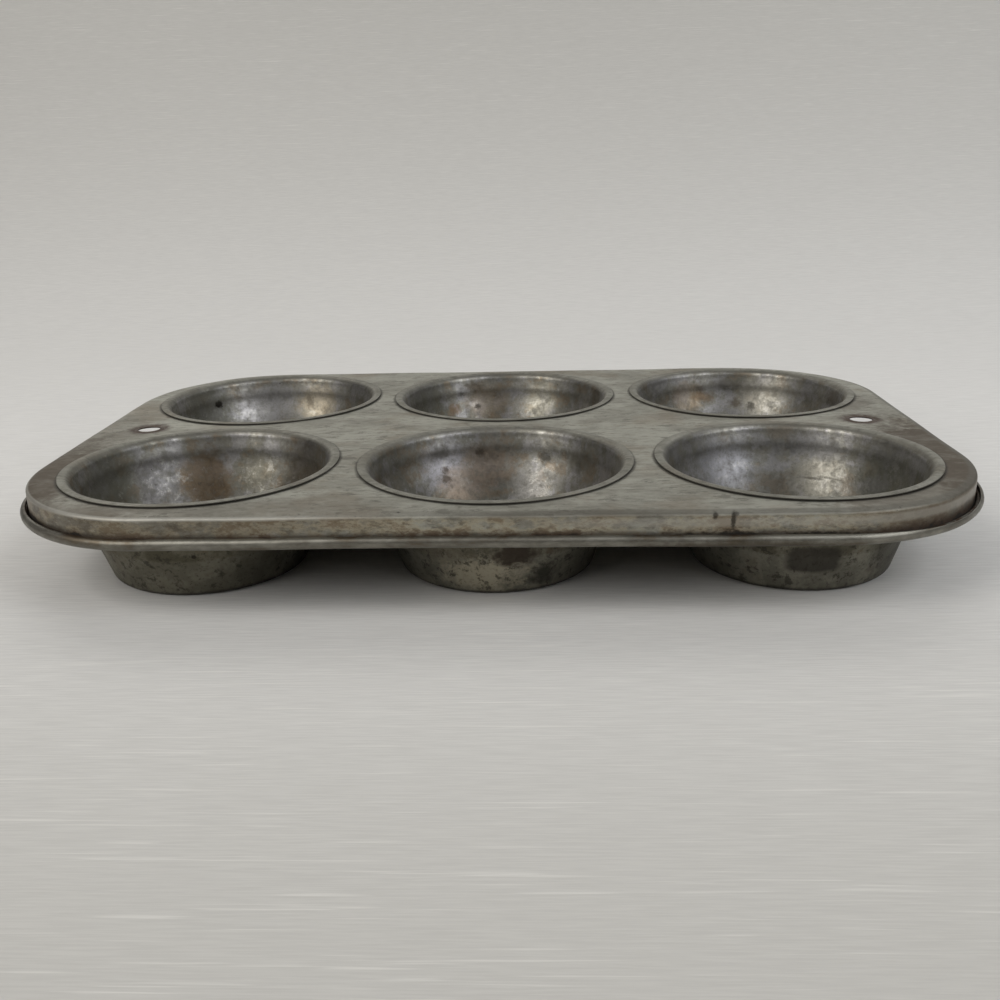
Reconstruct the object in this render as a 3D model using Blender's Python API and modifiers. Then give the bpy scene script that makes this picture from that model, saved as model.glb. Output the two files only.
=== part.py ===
"""A six-cup muffin tin of tinned sheet steel, at its real size.

A pressed deck has six holes, each turned down into a short collar. A seamless pressed cup hangs
in each hole: its flange lies on the deck, its neck runs down inside the collar, and a bead swaged
below the collar locks it in. The deck's edge folds down into a skirt, and the skirt's foot is
rolled round a steel wire. Two holes, one at each end, let the tin hang on a hook, and a shallow
groove pressed round each one stiffens it.

The frame is in metres with +Z up and +X along the long side. The origin lies on the floor that
the cups stand on, under the middle of the tin.
"""

import math

import bmesh
import bpy
from mathutils import Vector

MM = 0.001

# Driving dimensions of a cup
MOUTH_DIAMETER = 73.2 * MM       # inside the straight neck
CUP_HEIGHT = 30.6 * MM           # floor to the top of the flange
CUP_SHEET = 0.4 * MM
NECK_STEP = 2.3 * MM             # how much wider the swaged neck is than the top of the wall
WALL_TAPER = 5.4 * MM            # how much the wall's radius shrinks from its top to the floor
BASE_FILLET = 1.8 * MM
FLANGE_LAND = 1.35 * MM          # flat part of the flange, outside the bend at the mouth
LOCK_BEAD = 0.9 * MM             # how far the locking bead stands out from the neck
LOCK_BEAD_RISE = 0.8 * MM        # from the neck's foot down to the bead's crest
LOCK_BEAD_FALL = 2.4 * MM        # from the bead's crest down to the top of the wall

# Driving dimensions of the deck
DECK_SHEET = 0.4 * MM
CUP_GAP = 6.3 * MM               # deck left between the flanges of neighbouring cups
END_LAND = 5.2 * MM              # flat deck beyond the last flange, at each end
SIDE_LAND = 3.2 * MM             # flat deck beyond the flanges, on each long side
CORNER_LAND = 4.15 * MM          # how much the flat deck's corner radius exceeds the flange's
SHOULDER_WIDTH = 2.8 * MM        # the deck droops a little before it folds down
SHOULDER_DROP = 0.47 * MM
COLLAR_DEPTH = 4.9 * MM          # from the deck's top to the collar's lower edge
COLLAR_BEND = 1.2 * MM
FOLD_RADIUS = 1.0 * MM
SKIRT_HEIGHT = 7.4 * MM          # from the deck's top to the middle of the rolled bead
ROLL_SWEEP = math.radians(300)   # how far the sheet's edge is rolled round the wire

# Hanging holes
HANG_HOLE_DIAMETER = 7.2 * MM
HANG_HOLE_INSET = 17.2 * MM      # from the end of the deck to the hole's middle
GROOVE_WIDTH = 2.4 * MM          # the groove runs from the hole's edge outwards
GROOVE_DEPTH = 0.4 * MM

# Rim wire
WIRE_DIAMETER = 1.3 * MM
WIRE_BUTT_GAP = 0.8 * MM         # between the wire's two ends, at the middle of the back

# Clearance between pieces that seat on each other
FIT_GAP = 0.3 * MM

# How finely round forms are divided
CUP_STEPS = 32
HANG_HOLE_STEPS = 16
CORNER_STEPS = 9
BEND_STEPS = 3
SHOULDER_STEPS = 2
ROLL_STEPS = 10

# Sizes that follow from the driving dimensions
mouth_radius = MOUTH_DIAMETER / 2
neck_radius = mouth_radius + CUP_SHEET
wall_radius = neck_radius - NECK_STEP
collar_radius = neck_radius + FIT_GAP
hole_radius = collar_radius + COLLAR_BEND
flange_radius = hole_radius + FLANGE_LAND
flange_under = CUP_HEIGHT - CUP_SHEET
deck_top = flange_under - FIT_GAP
collar_foot = deck_top - COLLAR_DEPTH
roll_inner_radius = WIRE_DIAMETER / 2 + FIT_GAP
roll_height = deck_top - SKIRT_HEIGHT
hang_hole_radius = HANG_HOLE_DIAMETER / 2

pitch = 2 * flange_radius + CUP_GAP
fold_start = math.pi / 2 - math.atan2(2 * SHOULDER_DROP, SHOULDER_WIDTH)
rim_reach = SHOULDER_WIDTH + FOLD_RADIUS * (1 - math.cos(fold_start))
flat_half_length = pitch + flange_radius + END_LAND
flat_half_width = pitch / 2 + flange_radius + SIDE_LAND
flat_corner = flange_radius + CORNER_LAND
half_length = flat_half_length + rim_reach
half_width = flat_half_width + rim_reach
corner_radius = flat_corner + rim_reach
hang_hole_x = half_length - HANG_HOLE_INSET

# Each cup: its name, its column and row, and the tint of its tarnished tin
CUPS = [
    ("cup_front_left", -1, -1, (0.33, 0.31, 0.30)),
    ("cup_front_middle", 0, -1, (0.29, 0.29, 0.29)),
    ("cup_front_right", 1, -1, (0.34, 0.34, 0.34)),
    ("cup_back_left", -1, 1, (0.30, 0.28, 0.25)),
    ("cup_back_middle", 0, 1, (0.27, 0.26, 0.24)),
    ("cup_back_right", 1, 1, (0.32, 0.32, 0.31)),
]
DECK_TINT = (0.21, 0.20, 0.17)
WIRE_TINT = (0.30, 0.28, 0.26)


def clear_scene():
    """Remove whatever objects the scene starts with."""
    for old in list(bpy.data.objects):
        bpy.data.objects.remove(old, do_unlink=True)


def make_collection(name):
    """A new collection, linked to the scene."""
    collection = bpy.data.collections.new(name)
    bpy.context.scene.collection.children.link(collection)
    return collection


def tinplate(name, tint, roughness):
    """A Principled metal of the given tint."""
    material = bpy.data.materials.new(name)
    material.use_nodes = True
    material.diffuse_color = (*tint, 1.0)
    shader = material.node_tree.nodes["Principled BSDF"]
    shader.inputs["Base Color"].default_value = (*tint, 1.0)
    shader.inputs["Metallic"].default_value = 1.0
    shader.inputs["Roughness"].default_value = roughness
    return material


def add_object(name, data, collection, material):
    """An object of the given mesh or curve, with its own material in its first slot."""
    made = bpy.data.objects.new(name, data)
    collection.objects.link(made)
    if not data.materials:
        data.materials.append(None)
    made.material_slots[0].link = "OBJECT"
    made.material_slots[0].material = material
    return made


def add_wall(made, thickness):
    """Give an open surface its sheet thickness, on the side away from its normals."""
    wall = made.modifiers.new("sheet", "SOLIDIFY")
    wall.thickness = thickness
    wall.offset = -1.0
    wall.use_even_offset = True
    wall.use_rim = True


def arc(centre_radius, centre_height, radius, start, end, steps):
    """Points on an arc in the (radius, height) plane, both ends included."""
    points = []
    for step in range(steps + 1):
        angle = start + (end - start) * step / steps
        points.append((centre_radius + radius * math.cos(angle),
                       centre_height + radius * math.sin(angle)))
    return points


def cup_profile():
    """The outer side of a cup, from the flange's edge down to the middle of the base.

    The bend at the mouth is concentric with the collar's bend, one FIT_GAP outside it. The
    locking bead begins one FIT_GAP below the collar's edge.
    """
    bend = COLLAR_BEND + FIT_GAP
    bead_top = collar_foot - FIT_GAP
    bead_crest = bead_top - LOCK_BEAD_RISE
    wall_top = bead_crest - LOCK_BEAD_FALL
    profile = [(flange_radius, flange_under)]
    profile += arc(neck_radius + bend, flange_under - bend, bend,
                   math.radians(90), math.radians(180), BEND_STEPS)
    profile.append((neck_radius, bead_top))
    profile.append((neck_radius + LOCK_BEAD, bead_crest))
    profile.append((wall_radius, wall_top))

    slope = math.atan2(WALL_TAPER, wall_top)
    corner = wall_radius - WALL_TAPER
    tangent = BASE_FILLET * math.tan((math.pi / 2 - slope) / 2)
    profile += arc(corner - tangent, BASE_FILLET, BASE_FILLET,
                   -slope, math.radians(-90), BEND_STEPS)
    profile.append((0.0, 0.0))
    return profile


def make_cup_mesh():
    """The cup's profile as a line of edges in the XZ plane, ready for a Screw modifier."""
    profile = cup_profile()
    points = [(radius, 0.0, height) for radius, height in profile]
    edges = [(index, index + 1) for index in range(len(points) - 1)]
    mesh = bpy.data.meshes.new("cup_profile")
    mesh.from_pydata(points, edges, [])
    return mesh


def make_cups(collection):
    """Six cups on one shared profile, each turned about its own axis."""
    mesh = make_cup_mesh()
    for name, column, row, tint in CUPS:
        cup = add_object(name, mesh, collection, tinplate(name + "_tin", tint, 0.42))
        cup.location = (column * pitch, row * pitch / 2, 0.0)
        turning = cup.modifiers.new("turning", "SCREW")
        turning.axis = "Z"
        turning.steps = CUP_STEPS
        turning.render_steps = CUP_STEPS
        turning.use_merge_vertices = True
        turning.merge_threshold = 0.00001
        turning.use_smooth_shade = True
        add_wall(cup, CUP_SHEET)


def rounded_outline(half_x, half_y, radius, steps):
    """Points of a rounded rectangle, anticlockwise from the middle of the right side's top."""
    points = []
    for corner, (side_x, side_y) in enumerate([(1, 1), (-1, 1), (-1, -1), (1, -1)]):
        for step in range(steps + 1):
            angle = math.radians(90) * (corner + step / steps)
            points.append((side_x * (half_x - radius) + radius * math.cos(angle),
                           side_y * (half_y - radius) + radius * math.sin(angle)))
    return points


def circle(centre, radius, steps):
    """Points of a circle, starting on its +X side."""
    points = []
    for step in range(steps):
        angle = math.tau * step / steps
        points.append((centre[0] + radius * math.cos(angle), centre[1] + radius * math.sin(angle)))
    return points


def filled_plate(loops):
    """A flat sheet in the XY plane: the first loop is its outline, the others are its holes."""
    curve = bpy.data.curves.new("plate", "CURVE")
    curve.dimensions = "2D"
    curve.fill_mode = "BOTH"
    for loop in loops:
        spline = curve.splines.new("POLY")
        spline.points.add(len(loop) - 1)
        for point, (x, y) in zip(spline.points, loop):
            point.co = (x, y, 0.0, 1.0)
        spline.use_cyclic_u = True
    holder = bpy.data.objects.new("plate", curve)
    bpy.context.scene.collection.objects.link(holder)
    evaluated = holder.evaluated_get(bpy.context.evaluated_depsgraph_get())
    mesh = bpy.data.meshes.new_from_object(evaluated)
    bpy.data.objects.remove(holder, do_unlink=True)
    return mesh


def nearest_in_core(point, centre, core):
    """The nearest point to it in a rectangle of half sizes core round the centre.

    A rounded rectangle is every point at one distance from such a core. The core of a circle is
    just its centre.
    """
    return Vector([centre[axis] + max(-core[axis], min(core[axis], point[axis] - centre[axis]))
                   for axis in range(2)])


def turn_edge(sheet, centre, core, radius, profile):
    """Carry the sheet's edge, which lies at radius from the core, along (radius, height) points."""
    def on_edge(vertex):
        nearest = nearest_in_core(vertex.co, centre, core)
        return abs((vertex.co.xy - nearest).length - radius) < 0.01 * MM

    edges = [edge for edge in sheet.edges
             if edge.is_boundary and on_edge(edge.verts[0]) and on_edge(edge.verts[1])]
    for new_radius, new_height in profile:
        extruded = bmesh.ops.extrude_edge_only(sheet, edges=edges)["geom"]
        edges = [item for item in extruded if isinstance(item, bmesh.types.BMEdge)]
        for vertex in [item for item in extruded if isinstance(item, bmesh.types.BMVert)]:
            nearest = nearest_in_core(vertex.co, centre, core)
            outward = (vertex.co.xy - nearest).normalized()
            vertex.co.xy = nearest + outward * new_radius
            vertex.co.z = new_height


def collar_profile():
    """The deck's hole edge bends down into a collar that faces the cup's neck."""
    bend = arc(hole_radius, deck_top - COLLAR_BEND, COLLAR_BEND,
               math.radians(90), math.radians(180), BEND_STEPS)
    return bend[1:] + [(collar_radius, collar_foot)]


def groove_profile():
    """The sheet dips in a groove round a hanging hole and is level again at the hole's edge."""
    return [
        (hang_hole_radius + 0.7 * GROOVE_WIDTH, deck_top - GROOVE_DEPTH),
        (hang_hole_radius + 0.4 * GROOVE_WIDTH, deck_top - GROOVE_DEPTH),
        (hang_hole_radius, deck_top),
    ]


def rim_profile():
    """The deck's edge droops, folds down into the skirt, and the skirt's foot rolls round the wire.

    The droop is a parabola, and the fold takes over at its slope. The points follow the sheet's
    outer side, which faces the wire inside the roll.
    """
    shoulder = []
    for step in range(1, SHOULDER_STEPS + 1):
        share = step / SHOULDER_STEPS
        shoulder.append((flat_corner + share * SHOULDER_WIDTH,
                         deck_top - share * share * SHOULDER_DROP))
    fold = arc(corner_radius - FOLD_RADIUS,
               deck_top - SHOULDER_DROP - FOLD_RADIUS * math.sin(fold_start), FOLD_RADIUS,
               fold_start, 0.0, BEND_STEPS)
    roll = arc(corner_radius + roll_inner_radius, roll_height, roll_inner_radius,
               math.radians(180), math.radians(180) + ROLL_SWEEP, ROLL_STEPS)
    return shoulder + fold[1:] + roll


def make_deck(collection):
    """One sheet: the flat deck with its collars, grooved holes, skirt and rolled bead."""
    groove_radius = hang_hole_radius + GROOVE_WIDTH
    cup_centres = [(column * pitch, row * pitch / 2) for _, column, row, _ in CUPS]
    hang_centres = [(-hang_hole_x, 0.0), (hang_hole_x, 0.0)]

    loops = [rounded_outline(flat_half_length, flat_half_width, flat_corner, CORNER_STEPS)]
    loops += [circle(centre, hole_radius, CUP_STEPS) for centre in cup_centres]
    loops += [circle(centre, groove_radius, HANG_HOLE_STEPS) for centre in hang_centres]
    mesh = filled_plate(loops)

    sheet = bmesh.new()
    sheet.from_mesh(mesh)
    bmesh.ops.translate(sheet, verts=sheet.verts, vec=(0.0, 0.0, deck_top))
    for centre in cup_centres:
        turn_edge(sheet, centre, (0.0, 0.0), hole_radius, collar_profile())
    for centre in hang_centres:
        turn_edge(sheet, centre, (0.0, 0.0), groove_radius, groove_profile())
    core = (half_length - corner_radius, half_width - corner_radius)
    turn_edge(sheet, (0.0, 0.0), core, flat_corner, rim_profile())
    bmesh.ops.recalc_face_normals(sheet, faces=sheet.faces)
    sheet.faces.ensure_lookup_table()
    if sheet.faces[0].normal.z < 0:
        bmesh.ops.reverse_faces(sheet, faces=sheet.faces)
    sheet.to_mesh(mesh)
    sheet.free()

    mesh.shade_smooth()
    mesh.set_sharp_from_angle(angle=math.radians(40))
    deck = add_object("deck", mesh, collection, tinplate("deck_tin", DECK_TINT, 0.5))
    add_wall(deck, DECK_SHEET)


def make_rim_wire(collection):
    """The wire inside the rolled bead, one length whose ends meet at the middle of the back."""
    path = rounded_outline(half_length + roll_inner_radius, half_width + roll_inner_radius,
                           corner_radius + roll_inner_radius, CORNER_STEPS)
    first_corner = CORNER_STEPS + 1
    back = half_width + roll_inner_radius
    route = [(-WIRE_BUTT_GAP / 2, back)]
    route += path[first_corner:]
    route += path[:first_corner]
    route.append((WIRE_BUTT_GAP / 2, back))

    curve = bpy.data.curves.new("rim_wire", "CURVE")
    curve.dimensions = "3D"
    curve.bevel_depth = WIRE_DIAMETER / 2
    curve.bevel_resolution = 2
    curve.use_fill_caps = True
    spline = curve.splines.new("POLY")
    spline.points.add(len(route) - 1)
    for point, (x, y) in zip(spline.points, route):
        point.co = (x, y, roll_height, 1.0)
    add_object("rim_wire", curve, collection, tinplate("rim_wire_steel", WIRE_TINT, 0.4))


def main():
    """Build the whole tin in its own collection."""
    clear_scene()
    collection = make_collection("muffin_pan")
    make_deck(collection)
    make_rim_wire(collection)
    make_cups(collection)


main()
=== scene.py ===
# %% [markdown]
# # An old muffin tin
#
# Six seamless cups hang in a pressed deck, and the deck's edge is rolled round a wire. The solid model
# already gives every size. In this lesson each sheet is made again as a finer surface, worked out with
# numpy, and then gets the tarnish, the baked-on stains and the rust of a tin that has been used for years.

# %% Load the solid model
import math

import bmesh
import bpy
import numpy as np
from mathutils import Matrix, Vector


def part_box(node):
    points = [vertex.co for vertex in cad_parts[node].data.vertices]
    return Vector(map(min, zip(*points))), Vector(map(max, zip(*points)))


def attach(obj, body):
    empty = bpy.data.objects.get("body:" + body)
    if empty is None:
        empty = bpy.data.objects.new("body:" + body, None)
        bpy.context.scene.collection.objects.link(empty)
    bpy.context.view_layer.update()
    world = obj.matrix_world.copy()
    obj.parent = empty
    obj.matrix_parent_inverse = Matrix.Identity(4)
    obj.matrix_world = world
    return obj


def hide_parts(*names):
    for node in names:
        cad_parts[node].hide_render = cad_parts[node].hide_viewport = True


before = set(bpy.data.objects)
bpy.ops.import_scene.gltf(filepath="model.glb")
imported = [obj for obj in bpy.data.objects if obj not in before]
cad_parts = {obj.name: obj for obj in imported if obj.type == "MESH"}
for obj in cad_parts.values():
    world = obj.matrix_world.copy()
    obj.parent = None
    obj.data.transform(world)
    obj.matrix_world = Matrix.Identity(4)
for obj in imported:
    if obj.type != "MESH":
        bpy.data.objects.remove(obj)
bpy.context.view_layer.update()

# %% [markdown]
# ## The camera
#
# The tin is seen from just above its deck, so its round cups look like narrow ellipses. A camera at the
# real distance matters as much as its angle, because it sets how much smaller the back row looks. Three
# turns place it: yaw about the upright axis, pitch about the camera's own sideways axis, and a small
# roll, because the tin doesn't sit quite level in the picture. A matrix product applies them in order.

# %% Camera
CAMERA_PLACE = (0.01304, -0.33089, 0.11408)
CAMERA_YAW = 0.0415
CAMERA_PITCH = -0.3223
CAMERA_ROLL = -0.024
CAMERA_LENS_MM = 37.22

lens = bpy.data.cameras.new("camera")
lens.sensor_fit = "HORIZONTAL"
lens.sensor_width = 36.0
lens.lens = CAMERA_LENS_MM
lens.clip_start = 0.01
camera = bpy.data.objects.new("camera", lens)
bpy.context.scene.collection.objects.link(camera)
camera.matrix_world = (Matrix.Translation(CAMERA_PLACE)
                       @ Matrix.Rotation(CAMERA_YAW, 4, "Z")
                       @ Matrix.Rotation(math.pi / 2 + CAMERA_PITCH, 4, "X")
                       @ Matrix.Rotation(CAMERA_ROLL, 4, "Z"))
bpy.context.scene.camera = camera
print("camera distance, mm:", round(1000 * Vector(CAMERA_PLACE).length))

# %% [markdown]
# ## Sizes of the tin
#
# The cups and the deck have their places in the solid model, so the main sizes are read from its boxes. A
# hundredth of a millimetre is taken off, so that a smooth curve never pokes out of the faceted solid.

# %% Sizes from the solid model
MM = 0.001
SHEET = 0.4 * MM
FIT_GAP = 0.3 * MM
CLEARANCE = 0.01 * MM

cup_low, cup_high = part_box("cup_front_middle")
flange_radius = (cup_high.x - cup_low.x) / 2
pitch = -(cup_high.y + cup_low.y)
cup_top = cup_high.z - CLEARANCE
deck_top = cup_top - SHEET - FIT_GAP

deck_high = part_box("deck")[1]
bead_reach_x = deck_high.x - CLEARANCE
bead_reach_y = deck_high.y - CLEARANCE
print("pitch, mm:", round(1000 * pitch, 2), " flange radius, mm:", round(1000 * flange_radius, 2))

# %% [markdown]
# The rest are the sheet-metal values that the solids were made with: how far a bend reaches, how deep a
# collar is turned down, how wide the shoulder droops before the fold. Working inwards from the bead, they
# give the flat part of the deck, which is a rectangle with large round corners.

# %% Bends, rim and holes
HOLE_RADIUS = flange_radius - 1.35 * MM
COLLAR_BEND = 1.2 * MM
COLLAR_DEPTH = 4.9 * MM
SHOULDER_WIDTH = 2.8 * MM
SHOULDER_DROP = 0.47 * MM
FOLD_RADIUS = 1.0 * MM
SKIRT_HEIGHT = 7.4 * MM
WIRE_RADIUS = 0.65 * MM
CORNER_RADIUS = flange_radius + 4.15 * MM
HANG_HOLE_RADIUS = 3.6 * MM
HANG_HOLE_INSET = 17.2 * MM
GROOVE_WIDTH = 2.4 * MM
GROOVE_DEPTH = 0.4 * MM

roll_radius = WIRE_RADIUS + FIT_GAP
half_length = bead_reach_x - 2 * roll_radius - SHEET
half_width = bead_reach_y - 2 * roll_radius - SHEET
fold_start = 90.0 - math.degrees(math.atan2(2 * SHOULDER_DROP, SHOULDER_WIDTH))
rim_reach = SHOULDER_WIDTH + FOLD_RADIUS * (1 - math.cos(math.radians(fold_start)))
flat_length = half_length - rim_reach
flat_width = half_width - rim_reach
core = np.array([flat_length - CORNER_RADIUS, flat_width - CORNER_RADIUS])
hang_hole_x = half_length - HANG_HOLE_INSET
print("flat deck, half sizes in mm:", round(1000 * flat_length, 2), round(1000 * flat_width, 2))

# %% [markdown]
# ## The deck, cell by cell
#
# A pressed part is drawn with arcs and straight lines, so two helpers give evenly spaced points on each,
# and a third strings runs of points into a closed loop.

# %% Arcs, lines and loops
def turn_points(centre, radius, start, end, steps):
    """Points on an arc in a plane, from the start angle to the end angle in degrees, both kept."""
    angle = np.radians(np.linspace(start, end, steps + 1))
    return np.stack([centre[0] + radius * np.cos(angle), centre[1] + radius * np.sin(angle)], axis=1)


def line_points(start, end, step):
    """Evenly spaced points on a straight line, about one step apart, both ends kept."""
    start, end = np.array(start), np.array(end)
    count = max(1, round(float(np.linalg.norm(end - start)) / step))
    return start + (end - start) * np.arange(count + 1)[:, None] / count


def chain(*runs):
    """One closed loop from runs that each start where the last one ended."""
    return np.concatenate([run[:-1] for run in runs])


print("half a circle in two steps:", turn_points((0, 0), 1.0, 0, 180, 2).round(2).tolist())

# %% [markdown]
# The deck is one pressed sheet with round holes in a rounded rectangle. A filled curve would give long
# thin triangles that shade badly. Here the flat part is cut into cells, one round each hole, and each
# cell is a grid: its columns run round the hole and its rows run from the cell's own outline in to the
# hole's edge. Neighbouring cells share their outline points, so the sheet closes when they are merged.

# %% Outlines of the cells
POINT_STEP = 2.4 * MM
END_CELL_X = 108.0 * MM
END_CELL_Y = 8.0 * MM
CORNER_STEPS = 30

def straight_runs(*corners):
    """Evenly spaced points on each straight line from one corner to the next."""
    return [line_points(start, end, POINT_STEP) for start, end in zip(corners, corners[1:])]


side_x = pitch / 2
[end_edge] = straight_runs((flat_length, END_CELL_Y), (flat_length, core[1]))
[side_edge] = straight_runs((core[0], flat_width), (side_x, flat_width))
[middle_edge] = straight_runs((side_x, flat_width), (-side_x, flat_width))
corner_edge = turn_points(core, CORNER_RADIUS, 0, 90, CORNER_STEPS)

corner_cell = chain(
    *straight_runs((side_x, 0), (END_CELL_X, 0), (END_CELL_X, END_CELL_Y), (flat_length, END_CELL_Y)),
    end_edge, corner_edge, side_edge,
    *straight_runs((side_x, flat_width), (side_x, 0)))
middle_cell = chain(
    *straight_runs((-side_x, 0), (side_x, 0), (side_x, flat_width)),
    middle_edge,
    *straight_runs((-side_x, flat_width), (-side_x, 0)))
end_cell = chain(*straight_runs(
    (END_CELL_X, END_CELL_Y), (END_CELL_X, 0), (END_CELL_X, -END_CELL_Y), (flat_length, -END_CELL_Y),
    (flat_length, END_CELL_Y), (END_CELL_X, END_CELL_Y)))
print("points round a corner cell:", len(corner_cell), " middle:", len(middle_cell))

# %% [markdown]
# The sheet isn't dead flat: pressing the holes and years of heat have left slow waves a few hundredths
# of a millimetre high. They don't show in outline, but they bend the reflections, and a mirror-flat
# deck looks like plastic. The waves are a sum of a few slanted cosines of different length.

# %% Waves in the pressed sheet
WAVE_HEIGHT = 0.05 * MM
WAVES = [(1.0, 61, 140, 0.7), (0.8, 173, -47, 2.1), (0.6, 38, 36, 4.0)]

def deck_waves(x, y):
    """Height of the slow waves: the sum of share x cos(2 pi (x / along + y / across) + phase), with
    the two lengths in mm, times the wave height."""
    cosines = [share * np.cos(2 * np.pi * (x / (along * MM) + y / (across * MM)) + phase)
               for share, along, across, phase in WAVES]
    return WAVE_HEIGHT * sum(cosines)


print("wave at the deck's middle, mm:", round(float(deck_waves(0.0, 0.0)) / MM, 3))

# %% [markdown]
# Two sorts of hole are needed. Round a cup the sheet bends down into a short collar that stands round the
# cup's neck. Round a hanging hole it dips in a shallow pressed groove and is level again at the hole's
# edge. Both are the same grid with a different (radius, height) profile at its inner end.

# %% Profiles at the holes
def collar_profile():
    """(radius, height) from the flat sheet over the bend and down the collar to its cut edge."""
    bend = turn_points((HOLE_RADIUS, deck_top - COLLAR_BEND), COLLAR_BEND, 90, 180, 7)
    collar_radius = HOLE_RADIUS - COLLAR_BEND
    wall = line_points((collar_radius, deck_top - COLLAR_BEND),
                       (collar_radius, deck_top - COLLAR_DEPTH), 0.9 * MM)
    return np.concatenate([bend, wall[1:]])


def groove_profile():
    """(radius, height) across the groove: a raised-cosine dip between its outer and inner edge."""
    share = np.linspace(0, 1, 17)
    dip = GROOVE_DEPTH * 0.5 * (1 - np.cos(2 * np.pi * share))
    return np.stack([HANG_HOLE_RADIUS + GROOVE_WIDTH * (1 - share), deck_top - dip], axis=1)


collar = collar_profile()
groove = groove_profile()
print("points down a collar:", len(collar), " across a groove:", len(groove))

# %% [markdown]
# Now the cells themselves. Only a quarter of the deck was drawn, and mirroring a loop gives the other
# quarters. Mirroring also turns a loop's direction round, which would turn its faces upside down, so the
# points of a mirrored loop are taken in the opposite order.

# %% Cells as grids
CUP_CELL_ROWS = 10
HOLE_CELL_ROWS = 4

def cell_grid(loop, centre, profile, flat_rows):
    """A cell's grid. The flat rows are straight lines from the outline to the profile's first
    circle, and the other rows turn the profile about the centre. Columns run anticlockwise and the
    first comes again at the end, and rows run inwards, which makes the faces point up."""
    loop = np.concatenate([loop, loop[:1]])
    outward = loop - centre
    outward = outward / np.linalg.norm(outward, axis=1, keepdims=True)
    first_circle = centre + outward * profile[0, 0]
    share = np.linspace(0, 1, flat_rows + 1)[:-1, None, None]
    flat = loop + share * (first_circle - loop)
    turned = centre + outward * profile[:, 0, None, None]
    plan = np.concatenate([flat, turned])
    height = np.concatenate([np.full(flat_rows, deck_top), profile[:, 1]])
    height = height[:, None] + deck_waves(plan[..., 0], plan[..., 1])
    return np.concatenate([plan, height[..., None]], axis=-1)


def mirrored(loop, sign_x, sign_y):
    """The loop in another quarter of the deck, still anticlockwise."""
    turned = loop * np.array([sign_x, sign_y])
    return turned[::-1] if sign_x * sign_y < 0 else turned


cells = []
for sign_y in (-1, 1):
    for sign_x in (-1, 1):
        centre = np.array([sign_x * pitch, sign_y * pitch / 2])
        cells.append(cell_grid(mirrored(corner_cell, sign_x, sign_y), centre, collar, CUP_CELL_ROWS))
    centre = np.array([0, sign_y * pitch / 2])
    cells.append(cell_grid(mirrored(middle_cell, 1, sign_y), centre, collar, CUP_CELL_ROWS))
for sign_x in (-1, 1):
    centre = np.array([sign_x * hang_hole_x, 0])
    cells.append(cell_grid(mirrored(end_cell, sign_x, 1), centre, groove, HOLE_CELL_ROWS))
print("cells:", len(cells))

# %% [markdown]
# ## The rim
#
# Beyond the cups the sheet droops a little, folds down into a skirt, and its foot is rolled up round a
# wire. That is one profile carried along the deck's outline, always at right angles to it. The outline
# is strung together from the cells' own outer points, so that rim and cells meet point for point.

# %% The rim's path
quarter = np.concatenate([end_edge[:-1], corner_edge[:-1], side_edge])
half = np.concatenate([quarter[:-1], middle_edge[:-1], mirrored(quarter, -1, 1)])
[end_span] = straight_runs((-flat_length, END_CELL_Y), (-flat_length, -END_CELL_Y))
outline = np.concatenate([half[:-1], end_span[:-1], -half[:-1], -end_span])
outline_core = np.clip(outline, -core, core)
outward = (outline - outline_core) / CORNER_RADIUS
print("points along the rim:", len(outline))

# %% [markdown]
# The rolled bead is never quite even on a tin that has been dropped, so the profile isn't the same
# everywhere: the roll sits a little higher in the middle of the front, and it is further open towards the
# front right corner, where a dark gap shows above it.

# %% The rim's profile
DROOP_STEPS, FOLD_STEPS, SKIRT_STEPS, ROLL_STEPS = 6, 8, 6, 22
ROLL_SWEEP = 288.0
ROLL_TALLER = 1.18
ROLL_OPENED = [((110, -74), 24, 78.0), ((72, -86), 16, 20.0)]

def near(place, reach):
    """1 at a place of the outline, given in mm, and a bell curve of the distance away from it."""
    distance = np.linalg.norm(outline - np.array(place) * MM, axis=1)
    return np.exp(-(distance / (reach * MM)) ** 2)


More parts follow.
